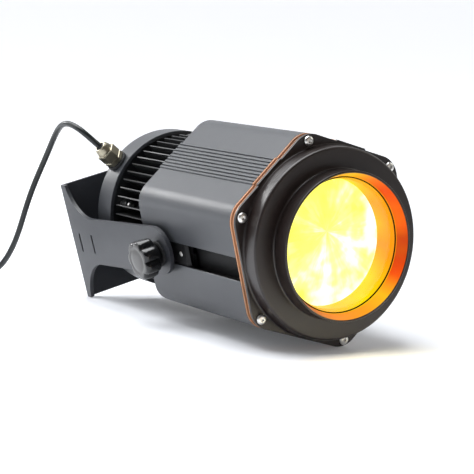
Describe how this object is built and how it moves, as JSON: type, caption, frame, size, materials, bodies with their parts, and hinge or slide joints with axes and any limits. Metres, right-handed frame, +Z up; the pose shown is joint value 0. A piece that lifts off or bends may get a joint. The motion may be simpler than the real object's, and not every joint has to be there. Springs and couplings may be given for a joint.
{
  "type": "profile spotlight",
  "caption": "Outdoor LED profile spotlight: hexagonal finned housing, round hood and lens, tilting U-yoke with clamp knobs, and a power cord.",
  "frame": {"origin": "on the ground under the middle of the lamp's own box, cord left out", "axes": "+Z up, +Y from the front glass to the rear cap along the optical axis, +X to the right seen from the front"},
  "size_m": [0.3951, 0.5368, 0.2015],
  "materials": {
    "powder_black": "satin powder coat, near black",
    "yoke_black": "satin powder coat on folded plate",
    "cast_black": "satin powder coat on a casting",
    "black_anodised": "matt black anodised",
    "stainless": "bright stainless steel",
    "reflector_metal": "bright faceted reflector",
    "nickel_brass": "nickel-plated brass",
    "orange_silicone": "orange silicone sheet",
    "black_rubber": "black rubber",
    "black_plastic": "moulded black nylon",
    "cord_sheath": "dark grey-green cable sheath",
    "clear_glass": "clear glass",
    "amber_filter": "amber dichroic glass",
    "led_board": "white board with a yellow phosphor chip",
    "circuit_board": "green circuit board"
  },
  "bodies": {
    "lamp": {"front_cover": "cast_black", "retaining_ring": "black_rubber", "front_glass": "clear_glass", "glass_seal": "black_rubber", "front_gasket": "orange_silicone", "lens_plate": "stainless", "rear_gasket": "orange_silicone", "hex_housing": "powder_black", "cover_screw_1": "stainless", "cover_screw_2": "stainless", "cover_screw_3": "stainless", "cover_screw_4": "stainless", "cover_screw_5": "stainless", "cover_screw_6": "stainless", "lens_barrel": "black_anodised", "front_lens": "clear_glass", "guide_rod_1": "stainless", "guide_rod_2": "stainless", "gate_plate": "black_anodised", "gobo_motor": "stainless", "condenser_holder": "black_anodised", "condenser_lens": "clear_glass", "colour_filter": "amber_filter", "reflector": "reflector_metal", "led_module": "led_board", "heat_sink": "black_anodised", "cap_plate": "black_anodised", "cap_gasket": "black_rubber", "rear_cap": "powder_black", "tie_screw_1": "stainless", "tie_screw_2": "stainless", "tie_screw_3": "stainless", "driver_board": "circuit_board", "gland_locknut": "nickel_brass", "gland_washer": "black_rubber", "gland_body": "nickel_brass", "gland_nut": "nickel_brass", "gland_seal": "black_rubber", "power_cord": "cord_sheath", "cord_coil": "cord_sheath", "plug_body": "black_rubber", "plug_blade_1": "nickel_brass", "plug_blade_2": "nickel_brass", "plug_ground_pin": "nickel_brass"},
    "carriage": {"slider_block_left": "black_anodised", "slider_block_right": "black_anodised", "lock_screw_left": "stainless", "lock_screw_right": "stainless"},
    "yoke": {"yoke": "yoke_black"},
    "washer_left": {"clamp_washer_left": "black_rubber"},
    "knob_left": {"clamp_stud_left": "stainless", "clamp_knob_left": "black_plastic"},
    "washer_right": {"clamp_washer_right": "black_rubber"},
    "knob_right": {"clamp_stud_right": "stainless", "clamp_knob_right": "black_plastic"},
    "focus": {"focus_carriage": "black_anodised", "focus_lens": "clear_glass"},
    "gobo": {"gobo_ring": "black_plastic", "gobo_disc": "stainless"},
    "pinion": {"motor_pinion": "nickel_brass"}
  },
  "joints": [
    {"name": "yoke_slide", "type": "slide", "parent": "lamp", "child": "carriage", "axis": [0, 1, 0], "range_m": [0, 0.025]},
    {"name": "yoke_tilt", "type": "hinge", "parent": "carriage", "child": "yoke", "pos_m": [0, -0.00852, 0.10076], "axis": [0.9584, 0, 0.2853], "range_deg": [-115, 12]},
    {"name": "washer_left_slide", "type": "slide", "parent": "carriage", "child": "washer_left", "axis": [-0.9584, 0, -0.2853], "range_m": [0, 0.00032]},
    {"name": "knob_left_turn", "type": "hinge", "parent": "carriage", "child": "knob_left", "pos_m": [-0.11118, -0.00852, 0.06766], "axis": [-0.9584, 0, -0.2853], "range_deg": [0, 90]},
    {"name": "washer_right_slide", "type": "slide", "parent": "carriage", "child": "washer_right", "axis": [0.9584, 0, 0.2853], "range_m": [0, 0.00032]},
    {"name": "knob_right_turn", "type": "hinge", "parent": "carriage", "child": "knob_right", "pos_m": [0.11118, -0.00852, 0.13386], "axis": [0.9584, 0, 0.2853], "range_deg": [0, 90]},
    {"name": "focus_slide", "type": "slide", "parent": "lamp", "child": "focus", "axis": [0, 1, 0], "range_m": [-0.012, 0.012]},
    {"name": "gobo_spin", "type": "hinge", "parent": "lamp", "child": "gobo", "pos_m": [0, -0.03252, 0.10076], "axis": [0, 1, 0], "continuous": true},
    {"name": "pinion_spin", "type": "hinge", "parent": "lamp", "child": "pinion", "pos_m": [0.01079, -0.03452, 0.06453], "axis": [0, 1, 0], "continuous": true}
  ],
  "couplings": [
    {"joint": "washer_left_slide", "follows": "knob_left_turn", "m_per_rad": 0.00019894},
    {"joint": "washer_right_slide", "follows": "knob_right_turn", "m_per_rad": 0.00019894},
    {"joint": "pinion_spin", "follows": "gobo_spin", "ratio": -4}
  ]
}
